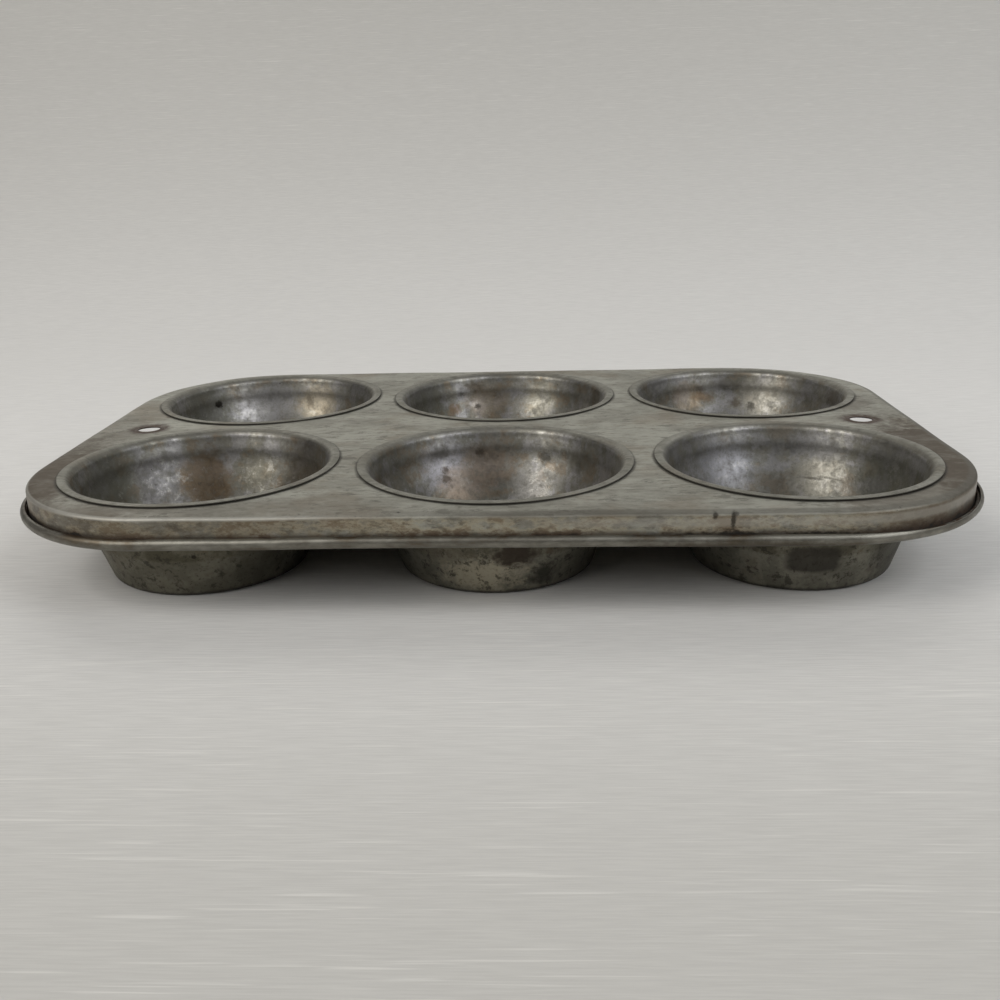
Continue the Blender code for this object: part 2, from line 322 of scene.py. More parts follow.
def rim_grid():
    """Droop (a parabola), fold (an arc), skirt (a line) and roll (an arc that starts at the skirt),
    each row carried along the outline. Rows start at the roll's cut edge, so that faces point
    outwards. Also gives the distance down the rim of every point, in mm, for the materials."""
    angle = np.unwrap(np.arctan2(outline[:, 1], outline[:, 0]))
    share = np.linspace(0, 1, DROOP_STEPS + 1)[:, None]
    droop = [CORNER_RADIUS + share * SHOULDER_WIDTH, deck_top - share ** 2 * SHOULDER_DROP]

    skirt_reach = CORNER_RADIUS + rim_reach
    fold_height = deck_top - SHOULDER_DROP - FOLD_RADIUS * math.sin(math.radians(fold_start))
    turn = np.radians(np.linspace(fold_start, 0, FOLD_STEPS + 1))[1:, None]
    fold = [skirt_reach - FOLD_RADIUS + FOLD_RADIUS * np.cos(turn),
            fold_height + FOLD_RADIUS * np.sin(turn)]

    lift = 0.13 + 0.07 * np.sin(3 * angle + 1.0) + 0.22 * near((0, -90), 55)
    roll_height = deck_top - SKIRT_HEIGHT + lift * MM
    share = np.linspace(0, 1, SKIRT_STEPS + 1)[1:, None]
    skirt = [skirt_reach + 0 * share, fold_height + share * (roll_height - fold_height)]

    opened = sum(degrees * near(place, reach) for place, reach, degrees in ROLL_OPENED)
    sweep = ROLL_SWEEP - opened - 9 * np.sin(5 * angle + 2.2)
    turn = np.radians(180 + np.linspace(0, 1, ROLL_STEPS + 1)[1:, None] * sweep)
    roll = [skirt_reach + roll_radius + roll_radius * np.cos(turn),
            roll_height + ROLL_TALLER * roll_radius * np.sin(turn)]

    runs = [droop, fold, skirt, roll]
    columns = len(outline)
    reach = np.concatenate([np.broadcast_to(run[0], (len(run[0]), columns)) for run in runs])
    height = np.concatenate([np.broadcast_to(run[1], (len(run[1]), columns)) for run in runs])
    plan = outline_core + reach[..., None] * outward
    height = height + deck_waves(plan[..., 0], plan[..., 1])
    grid = np.concatenate([plan, height[..., None]], axis=-1)
    length = np.linalg.norm(np.diff(grid, axis=0), axis=-1)
    down = np.concatenate([np.zeros((1, columns)), np.cumsum(length, axis=0)]) / MM
    return grid[::-1], down[::-1]


rim, rim_down = rim_grid()
print("rim rows:", rim.shape[0], " length of the profile, mm:", round(float(rim_down.max()), 1))

# %% [markdown]
# ## From grids to meshes
#
# Every sheet here is a surface with two parameters: one runs round the piece, the other across it. Numpy
# works out all points of such a grid at once. This helper puts several grids into one mesh, each point
# joined to its neighbours by four-sided faces, and then merges the points where grids meet, so that
# seams and poles are closed. It can also store a number for each point, which a material may read.

# %% Grids to a mesh
MERGE_DISTANCE = 0.002 * MM

def grid_faces(rows, columns, first):
    """Four corners for each face of a grid whose points are numbered row by row from first."""
    numbers = first + np.arange(rows * columns).reshape(rows, columns)
    corners = [numbers[:-1, :-1], numbers[:-1, 1:], numbers[1:, 1:], numbers[1:, :-1]]
    return np.stack(corners, axis=-1).reshape(-1, 4)


def mesh_from_grids(name, grids, measures=None):
    """A smooth mesh from grids of points, rows x columns x 3. measures holds, for each name, one
    array of rows x columns per grid."""
    points, faces = [], []
    for grid in grids:
        faces.append(grid_faces(grid.shape[0], grid.shape[1], sum(len(part) for part in points)))
        points.append(grid.reshape(-1, 3))
    mesh = bpy.data.meshes.new(name)
    mesh.from_pydata(np.concatenate(points).tolist(), [], np.concatenate(faces).tolist())
    for label, arrays in (measures or {}).items():
        layer = mesh.attributes.new(label, "FLOAT", "POINT")
        layer.data.foreach_set("value", np.concatenate([array.ravel() for array in arrays]))
    sheet = bmesh.new()
    sheet.from_mesh(mesh)
    bmesh.ops.remove_doubles(sheet, verts=sheet.verts, dist=MERGE_DISTANCE)
    sheet.to_mesh(mesh)
    sheet.free()
    mesh.shade_smooth()
    return mesh


no_rim = [np.zeros(cell.shape[:2]) for cell in cells]
deck_mesh = mesh_from_grids("deck_sheet", cells + [rim], {"down": no_rim + [rim_down]})
print("deck:", len(deck_mesh.vertices), "points,", len(deck_mesh.polygons), "faces")

# %% [markdown]
# ## The cups
#
# A seamless cup is a turned form: one profile taken round an axis. The profile follows the cup's outer
# side from the middle of the base, up the tapered wall, through a slightly drawn-in waist just below the
# deck's collar, out along the neck and over the bend to the flange. Arcs and cubic blends join the runs
# without a kink, because a pressed sheet has no sharp corner, and those curves are what catches the
# light: the bend draws the two bright spots on each far rim, and the waist the soft dark band under it,
# which the inside finish deepens with painted shade.

# %% The cup's profile
WAIST_INSET, WAIST_BELOW_COLLAR = 1.45 * MM, 1.1 * MM
WALL_INSET, WALL_BELOW_WAIST = 4.1 * MM, 8.9 * MM
FOOT_INSET = 8.9 * MM
FOOT_FILLET = 2.4 * MM
BEND_WIDTH, BEND_HEIGHT = 1.9 * MM, 2.6 * MM
WAIST_FLARE, NECK_FLARE = 0.08, 0.2
FLANGE_DROOP = 0.15 * MM

def blend_points(start, end, steps, leaving, arriving):
    """Points from start to end in (radius, height). The radius is a cubic of the height with the
    two slopes given, in radius per height: the one it leaves start with and the one at end."""
    share = np.linspace(0, 1, steps + 1)
    rise = end[1] - start[1]
    cubic = share ** 2 * (3 - 2 * share)
    turning = leaving * share * (1 - share) ** 2 - arriving * share ** 2 * (1 - share)
    radius = start[0] + (end[0] - start[0]) * cubic + rise * turning
    return np.stack([radius, start[1] + rise * share], axis=1)


def cup_profile():
    """(radius, height) points along the outer side, from the middle of the base to the flange."""
    neck_radius = HOLE_RADIUS - COLLAR_BEND - FIT_GAP
    flange_under = cup_top - SHEET
    waist = (neck_radius - WAIST_INSET, deck_top - COLLAR_DEPTH - WAIST_BELOW_COLLAR)
    wall_top = (neck_radius - WALL_INSET, waist[1] - WALL_BELOW_WAIST)
    wall_foot = neck_radius - FOOT_INSET
    flare = (wall_top[0] - wall_foot) / wall_top[1]
    slope = math.degrees(math.atan(flare))
    fillet_centre = wall_foot - FOOT_FILLET * math.tan(math.radians((90 - slope) / 2))
    corner = turn_points((fillet_centre, FOOT_FILLET), FOOT_FILLET, -90, -slope, 8)
    bend_start = math.degrees(math.atan(NECK_FLARE * BEND_HEIGHT / BEND_WIDTH))
    bend = turn_points((0, 0), 1.0, 180 - bend_start, 90, 12) * [BEND_WIDTH, BEND_HEIGHT]
    bend = bend + [HOLE_RADIUS, flange_under - BEND_HEIGHT]
    runs = [
        line_points((0, 0), (fillet_centre, 0), 2.2 * MM),
        corner,
        line_points(corner[-1], wall_top, 1.3 * MM),
        blend_points(wall_top, waist, 12, flare, WAIST_FLARE),
        blend_points(waist, bend[0], 9, WAIST_FLARE, NECK_FLARE),
        bend,
        line_points(bend[-1], (flange_radius, flange_under - FLANGE_DROOP), 0.35 * MM),
    ]
    return np.concatenate([run[:-1] for run in runs] + [runs[-1][-1:]])


profile = cup_profile()
print("cup profile:", len(profile), "points, top at", round(float(profile[:, 1].max()) / MM, 2), "mm")

# %% [markdown]
# Six cups from one press are not six equal cups. Each one gets its own slight oval and its own shallow
# dents in the wall, as sums of cosines round the axis. They fade out towards the neck, where the deck's
# collar holds the sheet round, and towards the base, which stands on the floor.

# %% Cups as turned grids
CUP_COLUMNS = 144
UNEVEN_HEIGHT = 24.0 * MM
CUPS = {
    "cup_front_left": (-1, -1),
    "cup_front_middle": (0, -1),
    "cup_front_right": (1, -1),
    "cup_back_left": (-1, 1),
    "cup_back_middle": (0, 1),
    "cup_back_right": (1, 1),
}

def cup_grid(centre, seed):
    """The profile turned about the cup's axis: radius x cosine, radius x sine, height. The oval and
    the dents are added to the radius, times a sine squared of the height that is 0 at both ends."""
    turn = np.linspace(0, 2 * np.pi, CUP_COLUMNS + 1)
    radius = profile[:, :1] + 0 * turn
    height = profile[:, 1:] + 0 * turn
    wall = np.sin(np.pi * np.clip(height / UNEVEN_HEIGHT, 0, 1)) ** 2
    oval = 0.12 * np.cos(2 * turn + seed) + 0.10 * np.cos(3 * turn + 2.3 * seed)
    dents = 0.09 * np.cos(7 * turn + 1.7 * seed) * np.sin(height / (3.1 * MM) + seed)
    radius = radius + wall * (oval + dents) * MM
    return np.stack([centre[0] + radius * np.cos(turn), centre[1] + radius * np.sin(turn), height], axis=-1)


cup_meshes = {}
for number, (node, (column, row)) in enumerate(CUPS.items()):
    grid = cup_grid((column * pitch, row * pitch / 2), 1.0 + 1.9 * number)
    cup_meshes[node] = mesh_from_grids(node + "_pressing", [grid])
print("one cup:", len(cup_meshes["cup_front_left"].polygons), "faces")

# %% [markdown]
# ## The wire
#
# The bead is stiff because a steel wire runs inside it, all the way round to a butt joint at the back.
# It only peeps out of the narrow gap above the bead. It is a tube: a small circle carried along the same
# path as the rim, with a row of points drawn together at each end to close it.

# %% A tube along the rim
WIRE_COLUMNS = 12
WIRE_GAP = 0.8 * MM

def wire_grid():
    """Circles of the wire's radius round the path, each in the plane of the path's outward
    direction and the upright. The first and last circle shrink to a point, which closes the ends."""
    reach = CORNER_RADIUS + rim_reach + roll_radius
    path = outline_core + reach * outward
    start = int(np.argmin(np.linalg.norm(path - np.array([0, half_width]), axis=1)))
    order = np.concatenate([np.arange(start, len(path) - 1), np.arange(start)])
    path, across = path[order], outward[order]
    joint = path[0] * [0, 1]
    first, last = joint - [WIRE_GAP / 2, 0], joint + [WIRE_GAP / 2, 0]
    path = np.concatenate([[first, first], path[1:], [last, last]])
    across = np.concatenate([across[:1], across, across[:1], across[:1]])
    size = np.full(len(path), WIRE_RADIUS)
    size[[0, -1]] = 0
    turn = np.linspace(0, 2 * np.pi, WIRE_COLUMNS + 1)
    plan = path[:, None] + across[:, None] * (size[:, None] * np.cos(turn))[..., None]
    height = deck_top - SKIRT_HEIGHT + size[:, None] * np.sin(turn)
    return np.concatenate([plan, height[..., None]], axis=-1)[::-1]


wire_mesh = mesh_from_grids("edge_wire", [wire_grid()])
print("wire:", len(wire_mesh.polygons), "faces")

# %% [markdown]
# ## Writing shader sums in Python
#
# A tarnished surface is many thin layers: tin, heat tint, baked fat, rust. Each layer is a mask times a
# colour, so the node trees are mostly sums. To keep them readable, a small class stands for one output
# of a node, and ordinary Python arithmetic on it adds the Math nodes.

# %% Sums of node outputs
class Signal:
    """One output of a shader node that can be used in sums. Every operator adds a Math node."""

    def __init__(self, finish, socket):
        self.finish = finish
        self.socket = socket

    def math(self, operation, first, second):
        return self.finish.node("ShaderNodeMath", {"operation": operation}, {0: first, 1: second})

    def __add__(self, other):
        return self.math("ADD", self, other)

    def __sub__(self, other):
        return self.math("SUBTRACT", self, other)

    def __rsub__(self, other):
        return self.math("SUBTRACT", other, self)

    def __mul__(self, other):
        return self.math("MULTIPLY", self, other)

    def __abs__(self):
        return self.math("ABSOLUTE", self, 0.0)

    __radd__ = __add__
    __rmul__ = __mul__


print("sums that may start with a number:", [name for name in vars(Signal) if name.startswith("__r")])

# %% [markdown]
# A finish is a material being built. One method adds any node, and a few more name what every layer
# needs: a soft step, a band, a mix of two tints, and a coat of several tints one over the other. All
# patterns read the object's own coordinates, turned into millimetres, so they keep their true size.

# %% A material being built
class Finish:
    """A finish whose colour, roughness and bump are built up layer by layer."""

    def __init__(self, name):
        self.material = bpy.data.materials.new(name)
        self.material.use_nodes = True
        self.tree = self.material.node_tree
        self.tree.nodes.clear()
        metres = self.node("ShaderNodeTexCoord", output="Object")
        self.place = self.node("ShaderNodeVectorMath", {"operation": "SCALE"},
                               {0: metres, "Scale": 1 / MM})
        split = self.node("ShaderNodeSeparateXYZ", None, {0: self.place}).socket.node
        self.x, self.y, self.z = [Signal(self, output) for output in split.outputs]

    def node(self, kind, settings=None, sockets=None, output=0):
        """Add a node. Its settings are set first, then each socket gets its value or its link."""
        made = self.tree.nodes.new(kind)
        for key, value in (settings or {}).items():
            setattr(made, key, value)
        for key, value in (sockets or {}).items():
            if isinstance(value, Signal):
                self.tree.links.new(value.socket, made.inputs[key])
            else:
                made.inputs[key].default_value = value
        return Signal(self, made.outputs[output]) if made.outputs else None

    def step(self, value, low, high):
        """0 at low, 1 at high and a soft S in between. Low above high turns it round."""
        return self.node("ShaderNodeMapRange", {"interpolation_type": "SMOOTHSTEP"}, {
            "Value": value, "From Min": low, "From Max": high})

    def band(self, value, rise_start, rise_end, fall_start, fall_end):
        """1 between rise_end and fall_start, fading to 0 at the outer pair."""
        return self.step(value, rise_start, rise_end) * self.step(value, fall_end, fall_start)

    def mix(self, amount, first, second):
        """The first colour where amount is 0, the second where it is 1."""
        tints = [(*tint, 1.0) if isinstance(tint, tuple) else tint for tint in (first, second)]
        return self.node("ShaderNodeMix", {"data_type": "RGBA"}, {0: amount, 6: tints[0], 7: tints[1]}, 2)

    def coat(self, colour, layers):
        """The colour with tints laid over it. Each layer is a mask from 0 to 1 and its tint."""
        for mask, tint in layers:
            colour = self.mix(mask, colour, tint)
        return colour

    def close(self, colour, roughness, metallic, height, depth):
        """End with a Principled shader. height is a pattern from 0 to 1 and depth its size in mm."""
        bump = self.node("ShaderNodeBump", None, {"Height": height, "Distance": depth * MM})
        shader = self.node("ShaderNodeBsdfPrincipled", None, {
            "Base Color": colour, "Roughness": roughness, "Metallic": metallic, "Normal": bump})
        self.node("ShaderNodeOutputMaterial", None, {"Surface": shader})
        return self.material


print("a finish can:", [name for name in vars(Finish) if not name.startswith("_")])

# %% [markdown]
# Wear has patterns of its own: clouds of stain, ragged spots, grime in a ring round each cup, where
# painted shade lies too. A worn finish adds them. A ragged spot is an ellipsoid whose distance has noise
# added before the step, so its edge is torn like a real stain's and not drawn with a compass.

# %% Patterns of wear
class WornFinish(Finish):
    """A finish with the patterns that use and tarnish leave."""

    def cloud(self, size, seed, detail=4.0, roughness=0.6, stretch=(1, 1, 1)):
        """Noise from 0 to 1 with features about size mm across, times stretch along each axis."""
        moved = self.node("ShaderNodeMapping", None, {
            "Vector": self.place, "Location": (7.3 * seed, -3.1 * seed, 5.7 * seed),
            "Scale": tuple(1 / (size * side) for side in stretch)})
        return self.node("ShaderNodeTexNoise", None, {
            "Vector": moved, "Scale": 1.0, "Detail": detail, "Roughness": roughness})

    def spot(self, centre, radii, ragged, seed, square=False):
        """1 inside an ellipsoid with ragged edges: the distance in radii plus noise, then a step.
        A square one takes the fourth root of the sum of fourth powers as its distance."""
        away = self.node("ShaderNodeVectorMath", {"operation": "SUBTRACT"}, {0: self.place, 1: centre})
        scaled = self.node("ShaderNodeVectorMath", {"operation": "DIVIDE"}, {0: away, 1: radii})
        if square:
            scaled = self.node("ShaderNodeVectorMath", {"operation": "MULTIPLY"}, {0: scaled, 1: scaled})
        distance = self.node("ShaderNodeVectorMath", {"operation": "LENGTH"}, {0: scaled}, "Value")
        if square:
            distance = self.node("ShaderNodeMath", {"operation": "SQRT"}, {0: distance})
        torn = (self.cloud(min(2.4, 0.5 * max(radii)), seed, 5.0, 0.65) - 0.5) * (2.6 * ragged)
        return self.step(distance + torn, 1.15 + 0.3 * ragged, 0.85 - 0.45 * ragged)

    def spots(self, colour, placed, seed):
        """Each placed spot has a centre and radii in mm, a tint, a strength and how ragged its edge
        is. True after those makes it square."""
        for number, (centre, radii, tint, strength, ragged, *square) in enumerate(placed):
            mask = self.spot(centre, radii, ragged, seed + 0.37 * number, *square)
            colour = self.mix(mask * strength, colour, tint)
        return colour

    def from_cup(self):
        """Distance in mm from the axis of the nearest cup: along x from the middle column or from an
        outer one, whichever is nearer, and along y from the row."""
        side = abs(self.x)
        across = self.node("ShaderNodeMath", {"operation": "MINIMUM"}, {0: side, 1: abs(side - pitch / MM)})
        offset = self.node("ShaderNodeCombineXYZ", None, {0: across, 1: abs(self.y) - pitch / 2 / MM})
        return self.node("ShaderNodeVectorMath", {"operation": "LENGTH"}, {0: offset}, "Value")

    def down(self):
        """Distance in mm down the rim, stored with the deck's mesh. It is 0 on the flat deck."""
        return self.node("ShaderNodeAttribute", {"attribute_name": "down"}, output="Fac")


print("a worn finish adds:", [name for name in vars(WornFinish) if not name.startswith("_")])

# %% [markdown]
# ## Tints of old tinplate
#
# Tin goes from silver to a warm grey. Heat tints it lilac and then straw, fat bakes on brown, and where
# the tin has gone, the steel rusts or blackens. The colours are linear, as Blender's sockets take them,
# so they look darker as numbers than they do in a picture.

# %% Tints
TIN = (0.425, 0.42, 0.365)
DULL_TIN = (0.31, 0.303, 0.258)
DARK_TIN = (0.135, 0.129, 0.108)
PALE_TIN = (0.48, 0.47, 0.43)
LILAC = (0.36, 0.352, 0.37)
STRAW = (0.46, 0.41, 0.30)
BROWN = (0.22, 0.17, 0.115)
STAIN = (0.105, 0.085, 0.062)
RUST = (0.060, 0.034, 0.020)
SOOT = (0.035, 0.030, 0.024)
print("tin is", round(TIN[1] / SOOT[1]), "times as bright as soot")

# %% [markdown]
# ## The deck's finish
#
# Years of wiping have drawn the deck's tarnish out into faint streaks along its length, which are noises
# stretched along x. The streaks also serve as roughness and bump, so the function gives them back too.

# %% Wiped tin
def wiped_tin(finish):
    """Two greys mixed by wide clouds, with short streaks and small brown marks. Gives the colour
    and the streaks."""
    wide = finish.cloud(14, 1.0, 6.0, 0.68, (1.6, 1, 1))
    streaks = finish.cloud(1.4, 2.0, 6.0, 0.74, (3, 1, 1))
    warm = finish.cloud(30, 3.0, 5.0, 0.6)
    marks = finish.cloud(3.4, 4.0, 6.0, 0.74, (2.2, 1, 1))
    tin = finish.mix(finish.step(wide, 0.40, 0.60), DULL_TIN, TIN)
    colour = finish.coat(tin, [
        (finish.step(streaks, 0.50, 0.64) * 0.45, DARK_TIN),
        (finish.step(streaks, 0.46, 0.32) * 0.35, PALE_TIN),
        (finish.step(warm, 0.50, 0.66) * 0.40, BROWN),
        (finish.step(marks, 0.58, 0.62) * 0.60, DARK_TIN)])
    return colour, streaks


# %% [markdown]
# Brown stains lie over the streaks, mostly at the ends, where hands took hold. Their places are listed,
# and a dark ring round each cup's flange is grime in the crack with painted shade of the gap under it.

# %% Stains on the deck
DECK_STAINS = [
    ((131, -46, 30), (17, 46, 14), 1.0),
    ((112, -80, 30), (28, 13, 14), 0.65),
    ((118, 25, 30), (10, 14, 12), 0.5),
    ((-130, -56, 30), (17, 38, 12), 0.95),
    ((-128, -6, 30), (11, 22, 12), 0.3),
    ((-110, -86, 26), (22, 10, 7), 0.45),
    ((-72, -88, 30), (48, 12, 7), 0.30),
    ((-130, -13.8, 30), (3, 2.4, 3), 0.6),
    ((62, -91, 22), (24, 6, 5), 0.5),
    ((20, -90, 29), (26, 3, 3), 0.4),
]

def stained_deck(finish, colour, blotches):
    """The colour darkened towards the front edge, with the stains, each a centre and radii in mm and a
    strength, and with a ring of grime and painted shade round each flange."""
    colour = finish.mix(finish.step(finish.y, -60, -84) * 0.15, colour, DARK_TIN)
    for centre, radii, strength in DECK_STAINS:
        patchy = finish.spot(centre, radii, 0.5, centre[0] / 20) * (0.25 + 1.4 * blotches)
        colour = finish.mix(patchy * strength, colour, STAIN)
    # The ring is grime in the crack and painted shade of the gap under each flange's edge.
    ring = finish.band(finish.from_cup() + 1.6 * (blotches - 0.5), 38.6, 39.6, 40.1, 41.0)
    return finish.mix(ring * 0.6, colour, SOOT)


print("deck stains:", len(DECK_STAINS))

# %% [markdown]
# The skirt is more yellow and brown than the deck, because fat runs over the edge and bakes on. Along the
# fold and the top of the skirt, bands of painted highlight and painted dark reflection lie over the fat.
# The distance down the rim, stored with the mesh, says where on the profile each layer lies.

# %% Fat on the skirt
def skirt_fat_and_painted_light(finish, colour, blotches, skirt, down):
    """The colour with straw, brown and freckles on the skirt, then painted light: a painted reflection
    high on the skirt, a painted highlight and a dark painted reflection on the fold. The bands are in mm
    down the rim.
    """
    freckles = finish.cloud(1.5, 6.6, 6.0, 0.75, (2.2, 2.2, 1))
    return finish.coat(colour, [
        (skirt * finish.step(blotches, 0.40, 0.52) * 0.65, STRAW),
        (skirt * finish.step(blotches, 0.50, 0.58) * 0.8, BROWN),
        (skirt * finish.step(finish.x, -20, -70) * 0.35, STAIN),
        (skirt * finish.step(freckles, 0.49, 0.64) * 0.55, STAIN),
        (skirt * finish.step(freckles, 0.45, 0.34) * 0.30, PALE_TIN),
        (skirt * finish.step(finish.x, 84, 108) * 0.65, (0.12, 0.10, 0.078)),
        # Painted light: a pale painted reflection high on the skirt at the right, a painted highlight along
        # the fold at the left, and a dark painted reflection on the droop and fold from the middle
        # rightwards.
        (finish.band(down, 4.0, 4.8, 6.0, 7.2) * finish.step(finish.x, 2, 32) * 0.35, PALE_TIN),
        (finish.band(down, 2.5, 3.0, 3.7, 4.3) * finish.step(finish.x, -20, -60) * 0.55, PALE_TIN),
        (finish.band(down, 0.6, 1.8, 3.2, 4.0) * finish.step(finish.x, -60, 20) * 0.6, DARK_TIN)])


# %% [markdown]
# Rust sits in the crease above the bead, where water stays, and soot with painted shade blackens it,
# most of all where the roll stands open. Over everything come three dents that hold dirt, and smudges.

# %% Rust and soot in the crease
SKIRT_MARKS = [
    ((55.9, -89.7, 28.8), (0.75, 2.0, 1.0), SOOT, 0.8, 0.7),
    ((60.8, -89.8, 29.2), (0.8, 2.0, 0.8), SOOT, 0.7, 0.7),
    ((60.3, -89.8, 27.3), (0.65, 2.0, 2.0), SOOT, 0.85, 0.7),
]

def crease_dirt_and_shade(finish, colour, blotches, rust, down):
    """The colour with rust, and with soot and painted shade low on the skirt, then the marks and the
    smudges.
    """
    right = finish.step(finish.x, 2, 32)
    gap = finish.band(finish.x, 30, 50, 82, 100)
    left_corner = finish.step(finish.x, -92, -110)
    thick = 0.2 * right + 0.9 * gap + 0.9 * left_corner
    # Soot and painted shade: a dark band low on the skirt, wider where the roll stands open and at the left
    # corner.
    soot = finish.step(down + thick + 7.0 * (blotches - 0.5), 8.9, 9.8)
    colour = finish.coat(colour, [(rust * 0.85, RUST), (soot, SOOT)])
    colour = finish.spots(colour, SKIRT_MARKS, 17.0)
    smudges = finish.step(finish.cloud(4.2, 7.0, 5.0, 0.7, (1, 1, 0.5)), 0.66, 0.72)
    return finish.mix(smudges * finish.step(down, 0.5, 2.0) * 0.8, colour, SOOT)


print("skirt marks:", len(SKIRT_MARKS))

# %% [markdown]
# The upper finish puts these together and adds the rusty grooves and the sooty collars. Rust is rough
# and hardly metallic, and baked fat is a little smoother than the wiped tin.

# %% Deck, upper side
def deck_upper():
    finish = WornFinish("deck_upper_tin")
    blotches = finish.cloud(5.5, 5.0, 6.0, 0.68, (1.8, 1, 1))
    fine = finish.cloud(0.9, 6.0, 4.0, 0.6)
    down = finish.down()
    skirt = finish.step(down, 3.2, 4.4)
    rust = finish.step(down + 5.0 * (blotches - 0.5), 6.9, 9.2)

    colour, streaks = wiped_tin(finish)
    colour = stained_deck(finish, colour, blotches)
    colour = skirt_fat_and_painted_light(finish, colour, blotches, skirt, down)
    colour = crease_dirt_and_shade(finish, colour, blotches, rust, down)
    groove_radii = (6.6, 6.6, 3)
    right_groove = finish.spot((hang_hole_x / MM, 0, deck_top / MM), groove_radii, 0.3, 8.0)
    left_groove = finish.spot((-hang_hole_x / MM, 0, deck_top / MM), groove_radii, 0.3, 9.0)
    colour = finish.coat(colour, [
        ((right_groove + left_groove) * 0.9, (0.095, 0.068, 0.055)),
        (finish.step(finish.z, 29.2, 27.5) * finish.step(down, 0.2, 0.0), SOOT)])

    roughness = 0.42 + 0.20 * streaks + 0.10 * fine + 0.20 * rust - 0.14 * skirt
    metallic = 0.75 - 0.6 * rust + 0.15 * skirt
    return finish.close(colour, roughness, metallic, streaks + 0.5 * fine, 0.035)


upper_tin = deck_upper()
print("nodes in the deck's upper finish:", len(upper_tin.node_tree.nodes))

# %% [markdown]
# The sheet's other side is seen in two places: dark and rusty underneath, and rubbed bright on the outside
# of the bead, because the roll turns that side out. The distance down the rim tells the two apart.

# %% Deck, under side and bead
def deck_under():
    finish = WornFinish("deck_under_tin")
    down = finish.down()
    clouds = finish.cloud(9, 11.0, 6.0, 0.65)
    fine = finish.cloud(0.8, 12.0, 4.0, 0.6)
    under = finish.mix(finish.step(clouds, 0.35, 0.65), (0.085, 0.078, 0.065), (0.11, 0.085, 0.058))
    under = finish.mix(finish.step(finish.cloud(4, 13.0, 6.0, 0.7), 0.6, 0.7), under, RUST)

    along = finish.cloud(6.0, 14.0, 5.0, 0.65, (2.5, 2.5, 1))
    grimy = finish.spot((62, -91, 20.5), (26, 8, 2.4), 0.6, 15.0)
    rubbed = finish.mix(finish.step(along, 0.36, 0.56), (0.27, 0.26, 0.225), (0.17, 0.16, 0.135))
    rubbed = finish.coat(rubbed, [
        (finish.step(along, 0.52, 0.64) * 0.7, (0.12, 0.095, 0.065)),
        (grimy * 0.7, (0.075, 0.062, 0.045)),
        (finish.step(down + 3.0 * (along - 0.5), 14.4, 15.4) * 0.9, RUST)])

    bead = finish.step(down, 9.6, 10.4)
    roughness = 0.62 - 0.22 * bead + 0.14 * fine
    metallic = 0.8 + 0.2 * bead
    return finish.close(finish.mix(bead, under, rubbed), roughness, metallic, along + 0.4 * fine, 0.03)


under_tin = deck_under()
print("nodes in the deck's under finish:", len(under_tin.node_tree.nodes))

# %% [markdown]
# Now the deck becomes a piece. Each piece stays at the origin, rides on the tin, and stands for one piece
# of the solid model. A real deck is sheet metal, and so is this one: its surface is the sheet's outer
# face, and a Solidify modifier adds the thickness behind it and gives the back the second material.

# %% The deck as a piece of sheet
def add_piece(name, mesh, materials, node):
    """A piece at the origin that rides on the tin and stands for a node of the solid model."""
    piece = bpy.data.objects.new(name, mesh)
    bpy.context.scene.collection.objects.link(piece)
    for material in materials:
        mesh.materials.append(material)
    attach(piece, "root")
    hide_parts(node)
    return piece


def add_thickness(piece):
    """The sheet's thickness, behind its surface. The back takes the second material."""
    wall = piece.modifiers.new("sheet", "SOLIDIFY")
    wall.thickness = SHEET
    wall.offset = -1.0
    wall.use_even_offset = True
    wall.material_offset = 1


deck_piece = add_piece("deck_sheet", deck_mesh, [upper_tin, under_tin], "deck")
add_thickness(deck_piece)
print("deck materials:", [material.name for material in deck_mesh.materials])

# %% [markdown]
# ## The cups' finish
#
# Inside, fat and heat leave patches: bluish lilac where the tin has only been hot, straw and brown where
# batter baked on, and small dark freckles where the tin has worn through. The flange was wiped together
# with the deck, so it takes the deck's tin, darkened a little in streaks. Painted shade darkens the band
# below the rim and some side walls, and a painted dark reflection lies on the top of the bend. The
# heights are in mm above the floor.

